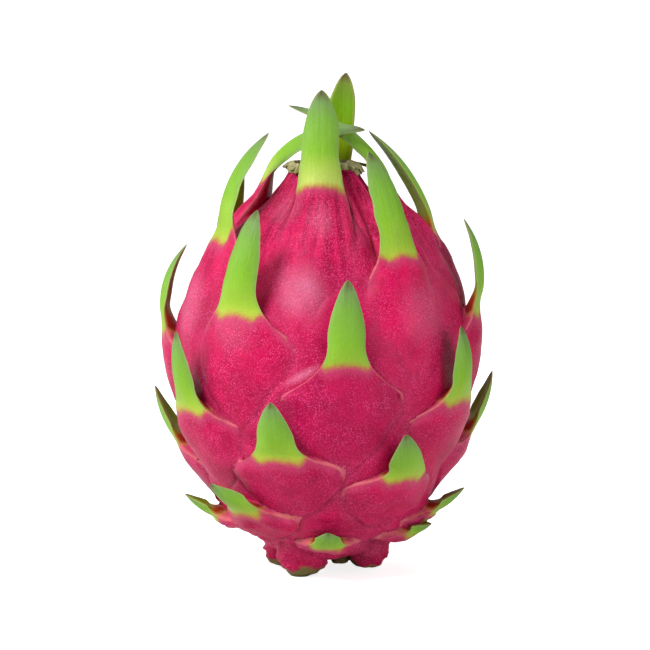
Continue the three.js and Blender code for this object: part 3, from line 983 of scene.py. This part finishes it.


# The crimson flesh of the body and the shields, with painted shade in its creases, a painted sheen beside
# them and painted highlights on the front. The masks are shared with the other parts of the material.
def fleshColor(tree, place, masks):
    look, colors, patches = fleshLook, fleshColors, masks["patches"]
    tone = tree.attribute("scaleTone")
    pink = tree.blend(masks["clouds"], colors["full"], colors["deep"])
    pink = tree.blend(tree.product(tone, look["dull"]), pink, colors["dull"])
    pink = tree.blend(tree.product(patches, look["rosy"]), pink, colors["rosy"])
    vein = tree.product(tree.range(masks["veins"], 0.46, 0.7), masks["onNeck"], look["vein"])
    pink = tree.blend(vein, pink, colors["vein"])
    streak = tree.product(tree.range(masks["veins"], 0.5, 0.34), masks["onNeck"], look["streak"])
    pink = tree.blend(streak, pink, colors["streak"])
    # Painted sheen: the flesh beside a crease is made paler.
    pink = tree.blend(tree.product(tree.attribute("sheenBesideCrease"), look["ridgeSheen"]), pink, colors["ridgeSheen"])
    # Painted shade: the flesh darkens in the creases, more strongly near the base.
    uneven = tree.range(patches, 0.0, 1.0, 0.2, 0.55)
    lower = tree.range(masks["height"], 0.03, 0.07, 1.0, 0.4)
    pink = tree.blend(tree.product(tree.attribute("creaseShade"), uneven, lower), pink, colors["creaseShade"])
    scattered = tree.range(tree.noise(place, 150.0, 3.0, 0.6), 0.36, 0.62, 0.4, 1.0)
    pink = tree.blend(tree.product(masks["sprinkled"], scattered, look["fleck"]), pink, colors["fleck"])
    # Painted highlights: pale stippled patches on the front, weaker on the darker scales.
    highlightStipple = tree.range(tree.sum(masks["sprinkled"], tree.product(patches, -0.4)), -0.4, 1.0, 0.6, 1.7)
    highlightAmount = tree.product(paintedHighlightMask(tree, place), tree.range(tone, 0.94, 0.8), highlightStipple)
    return tree.blend(highlightAmount, pink, colors["highlightPaint"])


# The green of the blades: fibres along them, a paler root on the crown's, a rim and a dry edge.
def bladeColor(tree, masks):
    share, gap = tree.attribute("bladeShare"), tree.attribute("marginGap")
    green = tree.ramp(share, bladeColors)
    green = tree.blend(tree.range(masks["fibres"], 0.3, 0.75, 0.0, 0.16), green, bladeTints["fibre"])
    paler = tree.product(tree.range(masks["height"], 0.1, 0.108), tree.range(share, 0.38, 0.04), 0.5)
    green = tree.blend(paler, green, bladeTints["paleRoot"])
    green = tree.blend(tree.product(tree.range(gap, 1.5, 0.1), 0.4), green, bladeTints["rim"])
    green = tree.blend(tree.attribute("innerFace"), green, tree.ramp(share, innerColors))
    return tree.blend(tree.product(tree.range(gap, 0.42, 0.06), 0.32), green, bladeTints["edge"])


# Threads along a blade, from its own coordinates in millimetres.
def bladeFibres(tree, distance):
    aside = tree.product(tree.attribute("bladeLateral"), 1.6)
    stretched = tree.product(distance, 0.12)
    ownPlace = tree.product(tree.attribute("scaleTone"), 40.0)
    return tree.noise(tree.vector(aside, stretched, ownPlace), 1.0, 3.0, 0.6)


# The ragged line where the flesh turns green, as a distance past it in millimetres.
def greenFront(tree, place, fibres):
    ragged = tree.product(tree.math("SUBTRACT", tree.noise(place, 420.0, 3.0, 0.6), 0.5), 1.8)
    hairy = tree.product(tree.math("SUBTRACT", fibres, 0.5), 0.7)
    return tree.sum(tree.attribute("greenDepth"), ragged, hairy)


def makeFruitMaterial():
    look = fleshLook
    material, tree, shader, place = newMaterial("scaledSkin")
    clouds, flecks = addMottle(tree, place, look["cloudSize"], look["fleckSize"], look["fleckAmount"])
    patches, dots = addMottle(tree, place, look["patchSize"], look["dotSize"], look["fleckAmount"])
    sprinkled = tree.math("MAXIMUM", flecks, tree.product(dots, look["dots"]))
    height = tree.parts(place)["Z"]
    veins = tree.noise(aroundAxis(tree, place, 13.0, 75.0), 1.0, 4.0, 0.65)
    onNeck = tree.range(height, *look["neck"])
    distance = tree.attribute("bladeDistance")
    fibres = bladeFibres(tree, distance)
    masks = {
        "clouds": clouds, "patches": patches, "sprinkled": sprinkled, "height": height, "veins": veins,
        "onNeck": onNeck, "fibres": fibres,
    }
    front = greenFront(tree, place, fibres)
    mauve = tree.product(tree.range(front, -4.6, -0.8), look["mauve"])
    blush = tree.blend(mauve, fleshColor(tree, place, masks), fleshColors["mauve"])
    blush = tree.blend(tree.range(front, -1.7, 0.4), blush, fleshColors["olive"])
    color = tree.blend(tree.range(front, -0.9, 1.7), blush, bladeColor(tree, masks))
    onMargin = tree.product(
        tree.range(tree.attribute("marginGap"), 0.5, 0.05), tree.range(distance, -9.0, -6.0), look["margin"],
    )
    notGreen = tree.range(front, 0.5, -0.5)
    color = tree.blend(tree.product(onMargin, notGreen), color, fleshColors["margin"])
    patchTop = tree.sum(height, tree.product(tree.math("SUBTRACT", tree.noise(place, 260.0), 0.5), 0.006))
    underside = tree.product(tree.attribute("lobe"), tree.range(patchTop, 0.0034, 0.0022), look["underside"])
    color = tree.blend(underside, color, fleshColors["underside"])
    grain = tree.noise(place, 1500.0, 3.0, 0.65)
    shade = tree.range(grain, 0.25, 0.75, 0.86, 1.12)
    shaded = tree.blend(1.0, color, tree.vector(shade, shade, shade), "MULTIPLY")
    fleshy = tree.range(front, 0.8, -0.4, 0.35, 1.0)
    tree.feed(shader, "Base Color", tree.blend(fleshy, color, shaded))
    tree.feed(shader, "Roughness", tree.range(clouds, 0.0, 1.0, *look["roughness"]))
    tree.feed(shader, "Subsurface Weight", look["subsurface"])
    tree.feed(shader, "Subsurface Radius", look["subsurfaceRadius"])
    tree.feed(shader, "Specular IOR Level", look["specular"])
    stippled = tree.product(tree.sum(grain, sprinkled), fleshy)
    relief = tree.sum(stippled, fibres, tree.product(veins, onNeck, 3.0))
    tree.feed(shader, "Normal", tree.bump(relief, look["relief"], look["reliefDepth"]))
    return material


# The stub of the stalk: a little waisted, bevelled at its cut end and ribbed, and just inside its solid.
stub = {
    "radius": 2.6, "low": 2.4, "high": 8.8, "inside": 0.97, "waist": 0.1, "waistRise": 2.6, "waistReach": 2,
    "bevel": 0.16, "bevelReach": 0.8, "rib": 0.05, "fineRib": 0.03, "rows": 26, "columns": 40,
}


def makeStem():
    height = np.linspace(stub["low"], stub["high"], stub["rows"])[:, None]
    turn = np.linspace(0, 2 * math.pi, stub["columns"], endpoint=False)[None, :]
    fromWaist = np.abs(height - stub["low"] - stub["waistRise"])
    waist = 1 - stub["waist"] * smooth(1 - fromWaist / stub["waistReach"])
    bevel = 1 - stub["bevel"] * smooth(1 - (height - stub["low"]) / stub["bevelReach"])
    ribs = 1 + stub["rib"] * np.sin(5 * turn + 0.3 * height) + stub["fineRib"] * np.sin(9 * turn + 1)
    radius = stub["radius"] * waist * bevel * ribs * stub["inside"]
    x = stemPlace["x"] + radius * np.cos(turn)
    y = stemPlace["y"] + radius * np.sin(turn)
    rings = np.stack([x, y, height + 0 * turn], -1)
    piece = makePiece("stemStub", *loftRings(rings, rings[0].mean(0), rings[-1].mean(0)))
    piece.data.shade_smooth()
    print("stem stub made")
    return piece


def makeStemMaterial():
    material, tree, shader, place = newMaterial("stemWood")
    clouds, flecks = addMottle(tree, place, 0.002, 0.0008, 0.5)
    color = tree.blend(clouds, rgb(96, 104, 52), rgb(104, 78, 44))
    color = tree.blend(flecks, color, rgb(60, 50, 30))
    tree.feed(shader, "Base Color", color)
    tree.feed(shader, "Roughness", tree.range(clouds, 0.0, 1.0, 0.7, 0.9))
    tree.feed(shader, "Normal", tree.bump(clouds, 0.4, 0.0004))
    return material


# The dried collar: a thin papery skirt round the navel whose rim is torn, folded and drooping.
collar = {
    "innerRadius": 7.9, "outerRadius": 10.6, "height": 114.2, "thickness": 0.16,
    "rim": [(3, 1.4, 0.35), (5, 0.8, 0.45), (9, 2.1, 0.3), (14, 0.0, 0.22)],
    "rimHeight": [(2, 0.6, 0.35), (5, 2.6, 0.5), (8, 0.0, 0.4), (13, 1.2, 0.22)],
    "tear": 0.35, "fineTear": 0.16, "innerUneven": 0.3,
    "arch": 1.15, "droop": 1.1, "wave": 0.8, "wrinkle": 0.35, "fineWrinkle": 0.3, "leastHalf": 0.012,
    "columns": 520, "rows": 16,
}


def makeCollar():
    azimuth = np.linspace(0, 2 * math.pi, collar["columns"], endpoint=False)[:, None]
    out = np.linspace(0, 1, collar["rows"])[None, :]
    ring = np.stack([np.sin(azimuth) * 4, np.cos(azimuth) * 4, 0 * azimuth], -1)
    torn = noiseAt(ring * 3.1, 3) * collar["tear"] + noiseAt(ring * 9, 8) * collar["fineTear"]
    outer = collar["outerRadius"] + sumOfWaves(collar["rim"], azimuth) + torn
    radius = mix(collar["innerRadius"] + collar["innerUneven"] * noiseAt(ring, 2), outer, out)
    arch = collar["arch"] * np.sin(math.pi * clamp01(out * 1.05)) - collar["droop"] * out ** 2
    wave = sumOfWaves(collar["rimHeight"], azimuth) * (0.25 + 0.75 * out) * collar["wave"]
    sheet = np.stack([radius * np.sin(azimuth), radius * np.cos(azimuth), out * 2 + 0 * azimuth], -1)
    fineWrinkle = noiseAt(sheet / 0.9, 4) * collar["fineWrinkle"] * (0.4 + out)
    wrinkle = fineWrinkle + noiseAt(sheet / 2.2, 9) * collar["wrinkle"] * out
    height = collar["height"] + arch + wave + wrinkle
    half = collar["thickness"] * np.sqrt(clamp01(1 - out ** 6)) / 2 + collar["leastHalf"]
    upper = np.stack([radius * np.sin(azimuth), -radius * np.cos(azimuth), height + half], -1)
    lower = np.stack([radius * np.sin(azimuth), -radius * np.cos(azimuth), height - half], -1)
    rings = np.concatenate([upper, lower[:, ::-1]], 1)
    rows, columns = rings.shape[:2]
    faces = gridFaces(rows + 1, columns) % (rows * columns)
    piece = makePiece("driedCollar", *facingOut(rings.reshape(-1, 3), faces))
    piece.data.shade_smooth()
    print("collar made")
    return piece


def makeDriedMaterial():
    material, tree, shader, place = newMaterial("driedFlower")
    clouds, flecks = addMottle(tree, place, 0.0022, 0.0005, 0.5)
    color = tree.blend(clouds, rgb(186, 180, 130), rgb(128, 122, 66))
    color = tree.blend(tree.product(flecks, 0.5), color, rgb(84, 70, 38))
    # Painted shade: the collar is darker where its surface faces down.
    facing = tree.add("ShaderNodeNewGeometry").outputs["Normal"]
    below = tree.range(tree.parts(facing)["Z"], 0.1, -0.5)
    color = tree.blend(tree.product(below, 0.7), color, rgb(88, 70, 34))
    tree.feed(shader, "Base Color", color)
    tree.feed(shader, "Roughness", tree.range(clouds, 0.0, 1.0, 0.75, 0.92))
    wrinkles = tree.noise(place, 900.0, 4.0, 0.6)
    tree.feed(shader, "Normal", tree.bump(wrinkles, 0.6, 0.0004))
    return material


# A Geometry Nodes tree with named inputs, and the piece that it grows from a base mesh.
def newGrowth(name, inputs):
    group = bpy.data.node_groups.new(name, "GeometryNodeTree")
    for label, kind in [("Geometry", "Geometry"), *inputs, ("Seed", "Int"), ("Material", "Material")]:
        group.interface.new_socket(label, in_out="INPUT", socket_type="NodeSocket" + kind)
    group.interface.new_socket("Geometry", in_out="OUTPUT", socket_type="NodeSocketGeometry")
    tree = Tree(group)
    return tree, tree.add("NodeGroupInput").outputs


def endGrowth(tree, grown, material):
    smoothed = tree.add("GeometryNodeSetShadeSmooth", {"Geometry": grown}).outputs[0]
    painted = tree.add("GeometryNodeSetMaterial", {"Geometry": smoothed, "Material": material}).outputs[0]
    tree.feed(tree.add("NodeGroupOutput"), "Geometry", painted)
    return tree.tree


def growPiece(name, base, group, values):
    piece = bpy.data.objects.new(name, base)
    scene.collection.objects.link(piece)
    growth = piece.modifiers.new("growth", "NODES")
    growth.node_group = group
    for item in group.interface.items_tree:
        if item.in_out == "INPUT" and item.name in values:
            growth[item.identifier] = values[item.name]
    evaluated = piece.evaluated_get(bpy.context.evaluated_depsgraph_get())
    mesh = bpy.data.meshes.new_from_object(evaluated)
    piece.modifiers.clear()
    piece.data = mesh
    print(name, "grown:", len(mesh.polygons), "faces")
    return piece


def randomFloat(tree, low, high, seed, shift):
    node = tree.add("FunctionNodeRandomValue", {2: low, 3: high, "Seed": tree.math("ADD", seed, shift)})
    return node.outputs[1]


# Withered threads of the flower, standing on the floor of the navel. The values with a capital are inputs of
# their tree, in metres and in threads on each square metre.
navel = {
    "radius": 5.0, "floor": 107.9, "rise": 1.3, "rings": 6, "columns": 20,
    "Density": 1200000.0, "Length": 0.0036, "Thickness": 0.00011, "Seed": 4,
}


def makeThreadTree():
    names = ("Density", "Length", "Thickness")
    tree, given = newGrowth("navelThreads", [(name, "Float") for name in names])
    inputs = {"Mesh": given["Geometry"], "Density": given["Density"], "Seed": given["Seed"]}
    points = tree.add("GeometryNodeDistributePointsOnFaces", inputs).outputs["Points"]
    ends = {"Resolution": 6, "Start": (0, 0, 0), "Middle": (0.05, 0.1, 0.6), "End": (0.42, 0.06, 0.95)}
    thread = tree.add("GeometryNodeCurveQuadraticBezier", ends).outputs["Curve"]
    slender = tree.math("DIVIDE", given["Thickness"], given["Length"])
    section = tree.add("GeometryNodeCurvePrimitiveCircle", {"Resolution": 5, "Radius": slender})
    along = tree.add("GeometryNodeSplineParameter").outputs["Factor"]
    taper = tree.math("SUBTRACT", 1.0, tree.product(along, 0.7))
    body = {"Curve": thread, "Profile Curve": section.outputs["Curve"], "Scale": taper, "Fill Caps": True}
    mesh = tree.add("GeometryNodeCurveToMesh", body).outputs["Mesh"]
    spin = {0: (-0.45, -0.45, 0.0), 1: (0.45, 0.45, 6.28), "Seed": given["Seed"]}
    turned = tree.add("FunctionNodeRandomValue", spin, data_type="FLOAT_VECTOR").outputs[0]
    size = tree.product(given["Length"], randomFloat(tree, 0.45, 1.0, given["Seed"], 1))
    placed = {"Points": points, "Instance": mesh, "Rotation": turned, "Scale": size}
    threads = tree.add("GeometryNodeInstanceOnPoints", placed).outputs["Instances"]
    whole = tree.add("GeometryNodeRealizeInstances", {"Geometry": threads}).outputs[0]
    return endGrowth(tree, whole, given["Material"])


def makeThreads(material):
    share = np.linspace(0.1, 1, navel["rings"])[:, None]
    turn = np.linspace(0, 2 * math.pi, navel["columns"], endpoint=False)[None, :]
    radius = navel["radius"] * share
    height = navel["floor"] + navel["rise"] * share ** 2 + 0 * turn
    dish = np.stack([radius * np.cos(turn), radius * np.sin(turn), height], -1).reshape(-1, 3)
    base = bpy.data.meshes.new("navelFloor")
    base.from_pydata(toFrame(dish).tolist(), [], gridFaces(navel["rings"], navel["columns"]).tolist())
    return growPiece("navelThreads", base, makeThreadTree(), {**navel, "Material": material})


# Torn papery flaps round the collar, some lifted and some hanging over the neck, in metres and radians.
flaps = {
    "Count": 17, "Radius": 0.0086, "Height": 0.1144, "Length": 0.0033, "Width": 0.0044,
    "Lift": -0.35, "Droop": 0.95, "Crinkle": 0.0016, "Thickness": 0.00014, "Seed": 9,
}


def makeFlapTree():
    names = ("Radius", "Height", "Length", "Width", "Lift", "Droop", "Crinkle", "Thickness")
    tree, given = newGrowth("collarFlaps", [("Count", "Int"), *((name, "Float") for name in names)])
    seed = given["Seed"]
    index = tree.add("GeometryNodeInputIndex").outputs["Index"]
    scattered = tree.sum(index, randomFloat(tree, -0.3, 0.3, seed, 0))
    angle = tree.product(tree.math("DIVIDE", scattered, given["Count"]), 2 * math.pi)
    reach = tree.sum(given["Radius"], randomFloat(tree, -0.0005, 0.0005, seed, 1))
    x = tree.sum(tree.product(tree.math("COSINE", angle), reach), axisX * millimetre)
    y = tree.sum(tree.product(tree.math("SINE", angle), reach), axisY * millimetre)
    spot = tree.vector(x, y, tree.sum(given["Height"], randomFloat(tree, -0.0004, 0.0003, seed, 2)))
    points = tree.add("GeometryNodePoints", {"Count": given["Count"], "Position": spot}).outputs[0]
    square = {"Size X": 1.0, "Size Y": 1.0, "Vertices X": 11, "Vertices Y": 11}
    grid = tree.add("GeometryNodeMeshGrid", square).outputs["Mesh"]
    place = tree.parts(tree.add("GeometryNodeInputPosition").outputs[0])
    out = tree.sum(place["X"], 0.5)
    narrowing = tree.math("SUBTRACT", 1.0, tree.product(out, out, 0.45))
    curl = tree.sum(tree.product(out, out, -0.3), tree.product(place["Y"], place["Y"], -0.5))
    shape = tree.vector(out, tree.product(place["Y"], narrowing), curl)
    sheet = tree.add("GeometryNodeSetPosition", {"Geometry": grid, "Position": shape}).outputs[0]
    droop = randomFloat(tree, given["Lift"], given["Droop"], seed, 3)
    turned = tree.vector(randomFloat(tree, -0.35, 0.35, seed, 4), droop, angle)
    long = tree.product(given["Length"], randomFloat(tree, 0.6, 1.0, seed, 5))
    wide = tree.product(given["Width"], randomFloat(tree, 0.55, 1.0, seed, 6))
    placed = {"Points": points, "Instance": sheet, "Rotation": turned, "Scale": tree.vector(long, wide, long)}
    instances = tree.add("GeometryNodeInstanceOnPoints", placed).outputs["Instances"]
    whole = tree.add("GeometryNodeRealizeInstances", {"Geometry": instances}).outputs[0]
    where = tree.add("GeometryNodeInputPosition").outputs[0]
    wild = tree.add("ShaderNodeTexNoise", {"Vector": where, "Scale": 620.0, "Detail": 2.0}).outputs["Color"]
    centred = tree.add("ShaderNodeVectorMath", {0: wild, 1: (0.5, 0.5, 0.5)}, operation="SUBTRACT").outputs[0]
    size = tree.vector(given["Crinkle"], given["Crinkle"], given["Crinkle"])
    shaken = tree.add("ShaderNodeVectorMath", {0: centred, 1: size}, operation="MULTIPLY").outputs[0]
    torn = tree.add("GeometryNodeSetPosition", {"Geometry": whole, "Offset": shaken}).outputs[0]
    thick = {"Mesh": torn, "Offset Scale": given["Thickness"], "Individual": False}
    upper = tree.add("GeometryNodeExtrudeMesh", thick).outputs["Mesh"]
    under = tree.add("GeometryNodeFlipFaces", {"Mesh": torn}).outputs["Mesh"]
    joined = tree.add("GeometryNodeJoinGeometry", {"Geometry": upper})
    tree.feed(joined, "Geometry", under)
    closed = tree.add("GeometryNodeMergeByDistance", {"Geometry": joined.outputs[0], "Distance": 0.000001})
    return endGrowth(tree, closed.outputs["Geometry"], given["Material"])


def makeFlaps(material):
    base = bpy.data.meshes.new("flapBase")
    return growPiece("collarFlaps", base, makeFlapTree(), {**flaps, "Material": material})


# A pale floor that sweeps up into a backdrop behind the fruit, in metres, and how bright it and the air are.
studio = {
    "halfSize": 1.6, "backDistance": 1.0, "coveRadius": 0.5, "top": 1.5, "tone": 0.8, "glow": 0.8,
    "air": 0.24, "lightsLookAt": (0, 0, 0.07),
}


def makeStudio():
    half, back, radius = studio["halfSize"], studio["backDistance"], studio["coveRadius"]
    turns = np.linspace(0, math.pi / 2, 25)
    bends = [(back + radius * math.sin(t), radius * (1 - math.cos(t))) for t in turns]
    outline = [(-half, 0), *bends, (back + radius, studio["top"])]
    vertices = [(x, y, z) for y, z in outline for x in (-half, half)]
    faces = [(2 * k, 2 * k + 1, 2 * k + 3, 2 * k + 2) for k in range(len(outline) - 1)]
    mesh = bpy.data.meshes.new("floor")
    mesh.from_pydata(vertices, [], faces)
    mesh.shade_smooth()
    floor = bpy.data.objects.new("floor", mesh)
    scene.collection.objects.link(floor)
    material, tree, shader, place = newMaterial("paleFloor")
    tone = studio["tone"]
    cooler = tone * 0.99
    paper = tree.blend(tree.noise(place, 60.0), (tone, tone, tone, 1), (cooler, cooler, tone, 1))
    tree.feed(shader, "Base Color", paper)
    tree.feed(shader, "Roughness", 0.9)
    seen = tree.add("ShaderNodeLightPath").outputs["Is Camera Ray"]
    tree.feed(shader, "Emission Color", tree.blend(seen, (0, 0, 0, 1), (1, 1, 1, 1)))
    tree.feed(shader, "Emission Strength", studio["glow"])
    mesh.materials.append(material)
    print("studio floor made")


lights = [
    {"name": "keyLight", "place": (-0.44, -0.56, 0.74), "size": 0.42, "power": 8.6},
    {"name": "sideLight", "place": (-0.95, 0.0, 0.34), "size": 0.5, "power": 4.0},
    {"name": "fillLight", "place": (0.8, -0.5, 0.16), "size": 0.7, "power": 3.5},
    {"name": "topLight", "place": (0.05, 0.4, 0.8), "size": 0.6, "power": 2.6},
]


def makeLights():
    for light in lights:
        data = bpy.data.lights.new(light["name"], "AREA")
        data.shape = "DISK"
        data.size = light["size"]
        data.energy = light["power"]
        lamp = bpy.data.objects.new(light["name"], data)
        scene.collection.objects.link(lamp)
        lamp.location = light["place"]
        aim = Vector(studio["lightsLookAt"]) - lamp.location
        lamp.rotation_euler = aim.to_track_quat("-Z", "Y").to_euler()
    # The air is plain white where the camera sees past the backdrop, and dim where it lights the fruit.
    world = bpy.data.worlds.new("studioAir")
    scene.world = world
    world.use_nodes = True
    tree = Tree(world.node_tree)
    seen = tree.add("ShaderNodeLightPath").outputs["Is Camera Ray"]
    strength = tree.sum(tree.product(seen, 1 - studio["air"]), studio["air"])
    air = tree.add("ShaderNodeBackground", {"Color": (1, 1, 1, 1), "Strength": strength})
    tree.feed(tree.add("ShaderNodeOutputWorld"), "Surface", air.outputs["Background"])
    scene.view_settings.view_transform = "Standard"
    print("studio lit")


def finishPiece(piece, material, node):
    piece.data.materials.clear()
    piece.data.materials.append(material)
    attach(piece, "root")
    if node:
        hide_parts(node)


makeCamera()
makeStudio()
makeLights()
finishPiece(makeFruit(), makeFruitMaterial(), "fruit")
dried = makeDriedMaterial()
finishPiece(makeCollar(), dried, "dried_collar")
for growth in (makeThreads, makeFlaps):
    finishPiece(growth(dried), dried, None)
finishPiece(makeStem(), makeStemMaterial(), "cut_stem")
